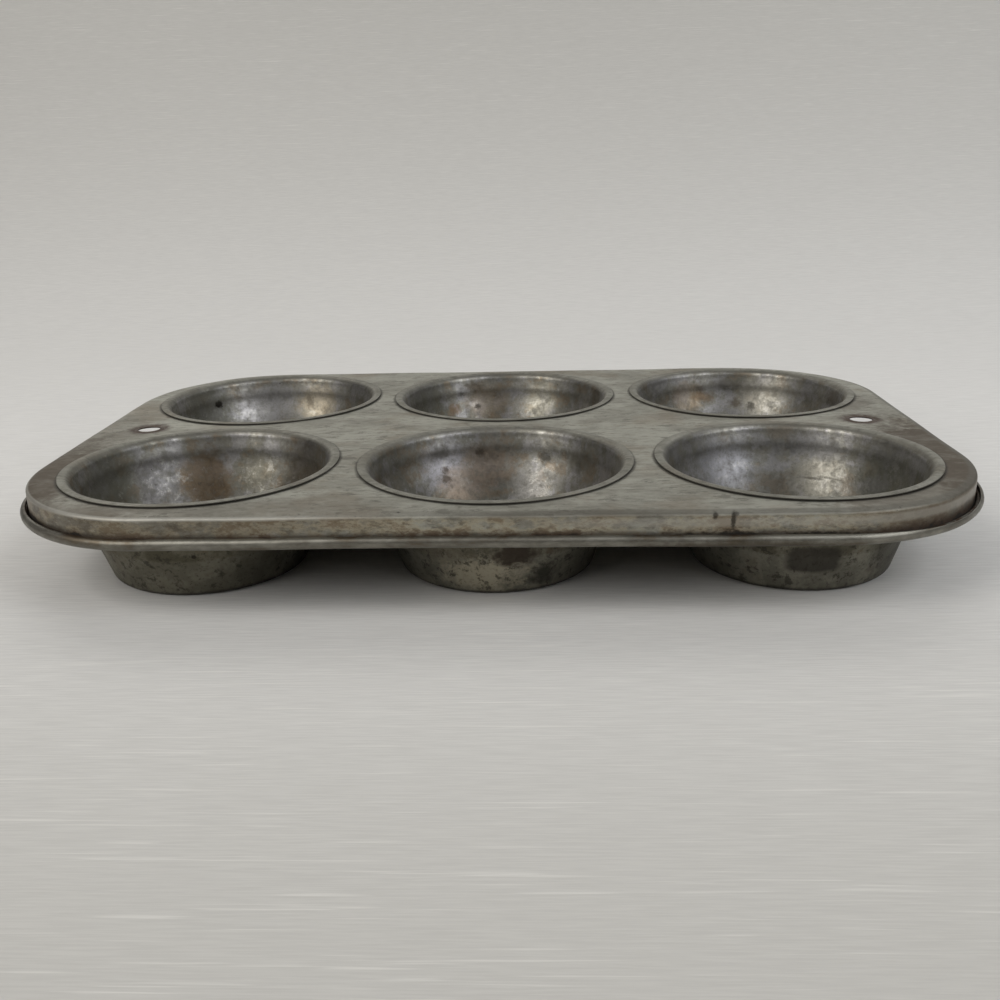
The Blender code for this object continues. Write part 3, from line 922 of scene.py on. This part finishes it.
# %% Cups, inside
def cup_inside(node, seed, warmth, tints, marks):
    """warmth from 0 to 1 says how brown the baked-on stain is. tints lie under the freckles and
    marks over them."""
    finish = WornFinish(node + "_inside")
    wide = finish.cloud(11, seed, 5.0, 0.6)
    patches = finish.cloud(8, seed + 1, 6.0, 0.66)
    grain = finish.cloud(1.1, seed + 2, 5.0, 0.7)
    freckles = finish.cloud(2.0, seed + 3, 4.0, 0.6)
    flakes = finish.cloud(3.4, seed + 4, 6.0, 0.74)
    colour = finish.mix(finish.step(wide, 0.38, 0.60), (0.19, 0.185, 0.158), (0.275, 0.267, 0.24))
    colour = finish.coat(colour, [
        (finish.step(patches, 0.50, 0.57) * 0.5, LILAC),
        (finish.step(patches, 0.47, 0.40) * (0.35 + 0.5 * warmth), BROWN)])
    colour = finish.spots(colour, tints, seed)
    colour = finish.coat(colour, [
        (finish.step(flakes, 0.51, 0.66) * 0.50, DARK_TIN),
        (finish.step(flakes, 0.46, 0.34) * 0.35, PALE_TIN),
        (finish.step(grain, 0.48, 0.68) * 0.40, DARK_TIN),
        (finish.step(freckles, 0.70, 0.76) * 0.85, SOOT)])
    colour = finish.spots(colour, marks, seed + 9)

    foot = finish.band(finish.z, 0.2, 0.9, 1.4, 3.4)
    # Painted shade: the neck band below the rim is darkened.
    neck = finish.band(finish.z, 22.0, 24.5, 28.2, 29.4)
    lip = finish.step(finish.z, 29.3, 30.5)
    # Painted dark reflection: a dark band at the top of the bend.
    bend = finish.band(finish.z, 29.1, 29.5, 29.95, 30.5)
    wiped, streaks = wiped_tin(finish)
    colour = finish.coat(colour, [
        (foot * 0.5, DARK_TIN),
        (neck * 0.25, DARK_TIN),
        (lip, finish.mix(0.2 + 0.5 * streaks, wiped, DARK_TIN)),
        (bend * 0.55, DARK_TIN)])
    roughness = 0.28 + 0.18 * grain + 0.14 * finish.step(flakes, 0.42, 0.58) + 0.16 * lip + 0.06 * neck
    return finish.close(colour, roughness, 0.95 - 0.2 * lip, grain + 0.8 * patches, 0.05)


# %% [markdown]
# Outside, the cups are browner and duller, since the oven's heat reached them first. Below a line a
# little under half their height they are scuffed paler, from standing and sliding in the oven, and the
# cut edge of the flange and the seam under it hold dark grime that never gets wiped away, with painted
# shade laid over the same place.

# %% Cups, outside
def cup_outside(node, seed, marks):
    finish = WornFinish(node + "_outside")
    wide = finish.cloud(9, seed + 20, 6.0, 0.65)
    grain = finish.cloud(1.0, seed + 21, 5.0, 0.7)
    flakes = finish.cloud(3.0, seed + 22, 6.0, 0.74)
    scuffed = finish.step(finish.z + 3.0 * (grain - 0.5), 12.2, 11.2)
    colour = finish.mix(finish.step(wide, 0.40, 0.58), (0.115, 0.106, 0.078), (0.22, 0.207, 0.162))
    colour = finish.coat(colour, [
        (finish.step(wide, 0.55, 0.66) * 0.6, (0.13, 0.10, 0.066)),
        (scuffed * 0.22, TIN)])
    colour = finish.spots(colour, marks, seed + 20)

    foot = finish.step(finish.z + 2.0 * (wide - 0.5), 1.8, 0.6)
    # The flange's cut edge and the seam under it: dark grime with painted shade.
    seam_grime_and_shade = finish.step(finish.z, 29.2, 29.9)
    colour = finish.coat(colour, [
        (finish.step(flakes, 0.53, 0.61) * 0.7, (0.050, 0.046, 0.036)),
        (finish.step(grain, 0.52, 0.74) * 0.5, SOOT),
        (foot * 0.7, SOOT),
        (seam_grime_and_shade, (0.10, 0.094, 0.078))])
    roughness = 0.46 + 0.2 * grain + 0.2 * seam_grime_and_shade
    return finish.close(colour, roughness, 0.95 - 0.5 * seam_grime_and_shade, grain + 0.8 * wide, 0.06)


# %% [markdown]
# Every cup has its own patches, and the ones that anyone would notice are placed one by one. These are
# the wide tints on the walls, which lie under the freckles.

# %% Wide tints inside the cups
# This dark tint is painted shade on the left side walls of three cups.
PAINTED_SHADE = (0.12, 0.12, 0.095)
INSIDE_TINTS = {
    "cup_front_left": [
        ((-122, -28, 16), (9, 18, 16), PAINTED_SHADE, 0.7, 0.5),
        ((-108, -18, 17), (9, 9, 9), (0.14, 0.134, 0.132), 0.75, 0.6),
        ((-96, -12, 15), (8, 7, 11), (0.17, 0.122, 0.075), 0.85, 0.5),
        ((-79, -10, 17), (7, 7, 7), (0.135, 0.127, 0.10), 0.8, 0.6),
        ((-60, -18, 17), (10, 11, 14), (0.14, 0.118, 0.088), 0.7, 0.5),
    ],
    "cup_front_middle": [
        ((-18, -14, 20), (8, 8, 8), (0.34, 0.333, 0.35), 0.85, 0.5),
        ((-4, -10, 19), (8, 8, 7), (0.27, 0.22, 0.175), 0.8, 0.6),
        ((-11, -13, 13), (9, 8, 6), (0.29, 0.235, 0.185), 0.75, 0.6),
        ((10, -12, 11), (6, 7, 8), (0.31, 0.30, 0.28), 0.8, 0.6),
    ],
    "cup_front_right": [
        ((70, -13, 18), (12, 10, 10), (0.28, 0.28, 0.298), 0.75, 0.5),
        ((101, -14, 16), (8, 7, 10), (0.33, 0.316, 0.27), 0.75, 0.6),
        ((99, -12, 24), (12, 7, 4), (0.25, 0.25, 0.26), 0.6, 0.6),
        # Painted shade on this cup's right side wall.
        ((118, -30, 16), (8, 16, 12), (0.14, 0.14, 0.11), 0.55, 0.5),
    ],
    "cup_back_left": [
        ((-118, 60, 18), (9, 14, 16), PAINTED_SHADE, 0.65, 0.5),
        ((-98, 74, 20), (12, 8, 8), (0.32, 0.31, 0.305), 0.75, 0.5),
        ((-76, 76, 20), (8, 6, 9), (0.31, 0.27, 0.20), 0.8, 0.5),
    ],
    "cup_back_middle": [
        ((-32, 60, 18), (9, 14, 16), PAINTED_SHADE, 0.6, 0.5),
        ((-8, 76, 20), (9, 6, 8), BROWN, 0.6, 0.5),
        ((14, 75, 20), (7, 6, 8), (0.28, 0.265, 0.21), 0.65, 0.5),
    ],
    "cup_back_right": [
        ((100, 73, 21), (10, 7, 8), (0.32, 0.305, 0.26), 0.7, 0.6),
        ((72, 73, 21), (7, 7, 7), BROWN, 0.6, 0.4),
    ],
}
print("wide tints:", sum(len(tints) for tints in INSIDE_TINTS.values()))

# %% [markdown]
# The small dark marks lie over the freckles: burnt crumbs, drips, the two scratches in the front right
# cup, and the brown tarnish on the flanges at both ends.

# %% Small marks inside the cups
INSIDE_MARKS = {
    "cup_front_left": [((-120, -55, 30.7), (9, 30, 1.4), (0.15, 0.14, 0.115), 0.6, 0.9)],
    "cup_front_middle": [
        ((14.6, -11.7, 21.8), (2.3, 2.2, 1.5), SOOT, 0.6, 0.5),
        ((-19.6, -12.5, 23.6), (4.6, 3.6, 2.4), (0.075, 0.068, 0.055), 0.65, 0.9),
        ((-17.2, -14.4, 18.6), (1.5, 1.6, 1.2), (0.085, 0.062, 0.045), 0.75, 0.8),
        ((-17.0, -14.8, 15.8), (1.7, 1.8, 1.2), (0.095, 0.07, 0.05), 0.7, 0.8),
        ((-6.5, -8.6, 22.8), (1.6, 1.6, 1.1), (0.09, 0.07, 0.052), 0.7, 0.8),
        ((26.0, -20.0, 22.0), (5.0, 6.0, 4.0), (0.12, 0.11, 0.085), 0.5, 0.9),
    ],
    "cup_front_right": [
        ((100, -13.6, 14.2), (4, 3, 0.4), SOOT, 0.55, 0.9),
        ((105, -15.6, 14.9), (4, 3, 0.35), SOOT, 0.5, 0.9),
        ((120, -50, 30.7), (10, 36, 1.4), (0.12, 0.108, 0.085), 0.7, 0.9),
    ],
    "cup_back_left": [
        ((-113.7, 64.6, 22.9), (1.9, 1.9, 1.5), (0.012, 0.010, 0.008), 0.95, 0.7),
        ((-80.1, 76.6, 20.6), (1.4, 2.0, 3.0), STAIN, 0.5, 0.8),
    ],
    "cup_back_middle": [
        ((-13.6, 77.0, 26.0), (4.2, 3.0, 2.2), (0.065, 0.045, 0.028), 0.75, 0.8),
        ((-20.6, 69.6, 18.6), (2.6, 3.0, 2.2), (0.17, 0.11, 0.065), 0.65, 0.8),
        ((-11.7, 74.4, 18.5), (1.3, 1.5, 1.1), SOOT, 0.8, 0.8),
        ((-18.4, 73.8, 23.7), (1.3, 1.5, 1.1), SOOT, 0.7, 0.8),
        ((34.4, 53.3, 27.0), (3.0, 6.0, 2.6), STAIN, 0.7, 0.8),
    ],
    "cup_back_right": [
        ((97.0, 74.3, 17.0), (1.8, 2.0, 1.5), SOOT, 0.65, 0.8),
        ((78.0, 76.0, 20.6), (5.0, 3.0, 2.4), (0.13, 0.085, 0.05), 0.6, 0.9),
        ((88.0, 78.0, 25.2), (6.0, 3.0, 2.0), (0.12, 0.11, 0.09), 0.6, 0.9),
        ((91.0, 76.4, 18.0), (2.2, 2.4, 1.6), (0.10, 0.08, 0.06), 0.65, 0.9),
        ((76.3, 77.6, 23.8), (2.2, 2.4, 1.6), STAIN, 0.6, 0.8),
        ((121.6, 47.2, 26.0), (3.0, 6.0, 2.6), STAIN, 0.7, 0.8),
    ],
}
print("small marks:", sum(len(marks) for marks in INSIDE_MARKS.values()))

# %% [markdown]
# Outside, only the front cups are seen. The middle one has lost its dark coat at the foot, where bare tin
# shows between two burnt patches, and the right one has a square patch where something was stuck on it.
# The left and the right cup get painted shade on their right sides.

# %% Marks outside the cups
OUTSIDE_MARKS = {
    "cup_front_left": [
        ((-86, -70, 8), (40, 16, 20), (0.11, 0.10, 0.066), 0.35, 0.8),
        # Painted shade on this cup's right side.
        ((-64, -66, 12), (10, 8, 12), (0.085, 0.08, 0.062), 0.5, 0.6),
        ((-80.5, -74.5, 13.3), (0.7, 0.9, 0.7), SOOT, 0.9, 0.2),
    ],
    "cup_front_middle": [
        ((-4, -74, 6.5), (13, 7, 5.5), (0.46, 0.42, 0.32), 0.8, 0.9),
        ((-14, -71, 13), (9, 7, 4), (0.20, 0.18, 0.135), 0.6, 0.7),
        ((14, -72, 5), (4.5, 5, 4.2), (0.045, 0.043, 0.034), 0.85, 0.7),
        ((6.6, -74.9, 12.7), (6, 5, 4), (0.05, 0.037, 0.028), 0.9, 0.5),
        ((6.8, -74, 9.8), (1.7, 1.5, 0.8), (0.34, 0.31, 0.25), 0.65, 0.5),
    ],
    "cup_front_right": [
        # Painted shade on this cup's right side.
        ((110, -64, 12), (12, 9, 12), (0.085, 0.08, 0.062), 0.7, 0.6),
        ((85.0, -75, 10.8), (7.2, 8, 4.2), (0.05, 0.045, 0.038), 0.85, 0.14, True),
    ],
}
print("marks outside:", sum(len(marks) for marks in OUTSIDE_MARKS.values()))

# %% [markdown]
# Each cup gets its own two materials, made by the same two functions with another seed, so the six are
# alike without one being a copy of another.

# %% The cups as pieces of sheet
FIRST_SEED = 30.0
WARMTH = {
    "cup_front_left": 0.7, "cup_front_middle": 0.5, "cup_front_right": 0.15,
    "cup_back_left": 0.4, "cup_back_middle": 0.6, "cup_back_right": 0.3,
}

for number, node in enumerate(CUPS):
    seed = FIRST_SEED + 4.0 * number
    inside = cup_inside(node, seed, WARMTH[node], INSIDE_TINTS[node], INSIDE_MARKS[node])
    outside = cup_outside(node, seed, OUTSIDE_MARKS.get(node, []))
    cup = add_piece(node + "_pressing", cup_meshes[node], [outside, inside], node)
    add_thickness(cup)
print("cups finished:", len(CUPS))

# %% [markdown]
# ## The wire's finish
#
# Drawn steel wire, dulled brown by the damp that the bead holds.

# %% The wire as a piece
def wire_steel():
    finish = WornFinish("edge_wire_steel")
    damp = finish.cloud(5, 60.0, 5.0, 0.65)
    fine = finish.cloud(0.6, 61.0, 4.0, 0.6)
    colour = finish.mix(finish.step(damp, 0.42, 0.60), DARK_TIN, RUST)
    return finish.close(colour, 0.5 + 0.2 * fine, 0.9, fine, 0.02)


wire_piece = add_piece("edge_wire", wire_mesh, [wire_steel()], "rim_wire")
print("pieces:", 1 + len(CUPS), "of sheet and", wire_piece.name)

# %% [markdown]
# ## Floor and backdrop
#
# The tin stands on a pale cloth that sweeps up behind it, so there is no line where floor meets wall.
# It is one surface again: a profile of floor, wide arc and wall, carried straight along x. Its weave is
# two noises drawn out along x: fine dull threads, and a few thicker pale ones. Under and behind the tin
# the cloth is painted paler: painted light, a soft pool of light on the floor that fades up the wall.

# %% Sweep
FLOOR_BELOW = 0.05 * MM
FLOOR_FRONT, FLOOR_NEAR = -1.6, -0.4
ARC_START, ARC_RADIUS = 0.33, 0.55
WALL_TOP = 1.6
SWEEP_SIDE = 1.7

def sweep_grid():
    """The profile (depth, height) repeated along x: a floor line, a quarter circle and a wall."""
    floor_line = np.array([[FLOOR_FRONT, 0.0], [FLOOR_NEAR, 0.0], [0.0, 0.0]])
    arc = turn_points((ARC_START, ARC_RADIUS), ARC_RADIUS, -90, 0, 24)
    wall = np.array([[ARC_START + ARC_RADIUS, WALL_TOP]])
    curve = np.concatenate([floor_line, arc, wall])
    across = np.linspace(-SWEEP_SIDE, SWEEP_SIDE, 9)[:, None]
    depth = curve[:, 0] + 0 * across
    height = curve[:, 1] - FLOOR_BELOW + 0 * across
    return np.stack([across + 0 * depth, depth, height], axis=-1)[::-1]


def cloth_finish():
    finish = WornFinish("pale_cloth")
    threads = finish.cloud(0.5, 70.0, 3.0, 0.6, (22, 1, 1))
    slubs = finish.cloud(0.8, 71.0, 2.0, 0.5, (40, 1, 1))
    # Painted light: the cloth is paler under and behind the tin.
    painted_light = finish.band(finish.y, -230, -20, 300, 950)
    colour = finish.coat(finish.mix(painted_light, (0.575, 0.563, 0.530), (0.82, 0.81, 0.785)), [
        (finish.step(threads, 0.30, 0.70) * 0.20, (0.36, 0.35, 0.33)),
        (finish.step(slubs, 0.60, 0.72) * 0.22, (0.95, 0.93, 0.88))])
    return finish.close(colour, 0.9, 0.0, threads, 0.05)


sweep = bpy.data.objects.new("sweep", mesh_from_grids("sweep", [sweep_grid()]))
sweep.data.materials.append(cloth_finish())
bpy.context.scene.collection.objects.link(sweep)
print("sweep:", len(sweep.data.polygons), "faces")

# %% [markdown]
# ## Light
#
# Metal shows its surroundings more than its own colour. Two large soft boxes, front left and front right,
# draw the two bright columns on each cup's far wall, and nothing hangs straight overhead, so the wall
# between the columns stays dark. A weak box in front and one at the right soften the shadows. Three
# boxes behind the tin light the deck, which mirrors whatever stands at the back.

# %% Soft boxes
TARGET = Vector((0, 0, 0.02))
SOFT_BOXES = {
    "front_left_box": ((-0.76, -0.64, 0.74), (0.60, 0.90), 7.6, 0.4),
    "front_right_box": ((0.82, -0.57, 0.74), (0.60, 0.90), 5.4, -0.3),
    "right_side_box": ((1.02, 0.09, 0.72), (0.60, 0.60), 1.2, -0.3),
    "front_box": ((0.0, -0.88, 0.88), (1.10, 0.70), 1.3, 0.0),
    "back_left_box": ((-0.59, 0.70, 0.77), (0.60, 0.60), 1.4, 0.2),
    "back_right_box": ((0.59, 0.70, 0.77), (0.60, 0.60), 1.1, 0.0),
    "high_back_box": ((0.0, 0.65, 1.15), (1.60, 0.80), 2.2, 0.2),
}

def soft_box(name, place, size, power, warmth):
    """A rectangular area lamp at place, turned towards the tin. warmth tints it a little."""
    lamp = bpy.data.lights.new(name, "AREA")
    lamp.shape = "RECTANGLE"
    lamp.size, lamp.size_y = size
    lamp.energy = power
    lamp.color = (1.0, 1.0 - 0.06 * warmth, 1.0 - 0.14 * warmth)
    box = bpy.data.objects.new(name, lamp)
    bpy.context.scene.collection.objects.link(box)
    box.location = place
    box.rotation_euler = (TARGET - Vector(place)).to_track_quat("-Z", "Y").to_euler()


for name, values in SOFT_BOXES.items():
    soft_box(name, *values)

# %% [markdown]
# The world is a dim grey, so that a wall that faces no box stays dark. The Standard view transform shows
# the colours as they are worked out, without a film's curve over them.

# %% World and view
world = bpy.data.worlds.new("dim_room")
world.use_nodes = True
background = world.node_tree.nodes["Background"]
background.inputs["Color"].default_value = (0.62, 0.61, 0.60, 1)
background.inputs["Strength"].default_value = 0.07
bpy.context.scene.world = world
bpy.context.scene.view_settings.view_transform = "Standard"
print("world strength:", round(background.inputs["Strength"].default_value, 2))

# %% [markdown]
# ## Size
#
# The finished sheets must stay inside the solid model's box, since the motion checks use the solids.
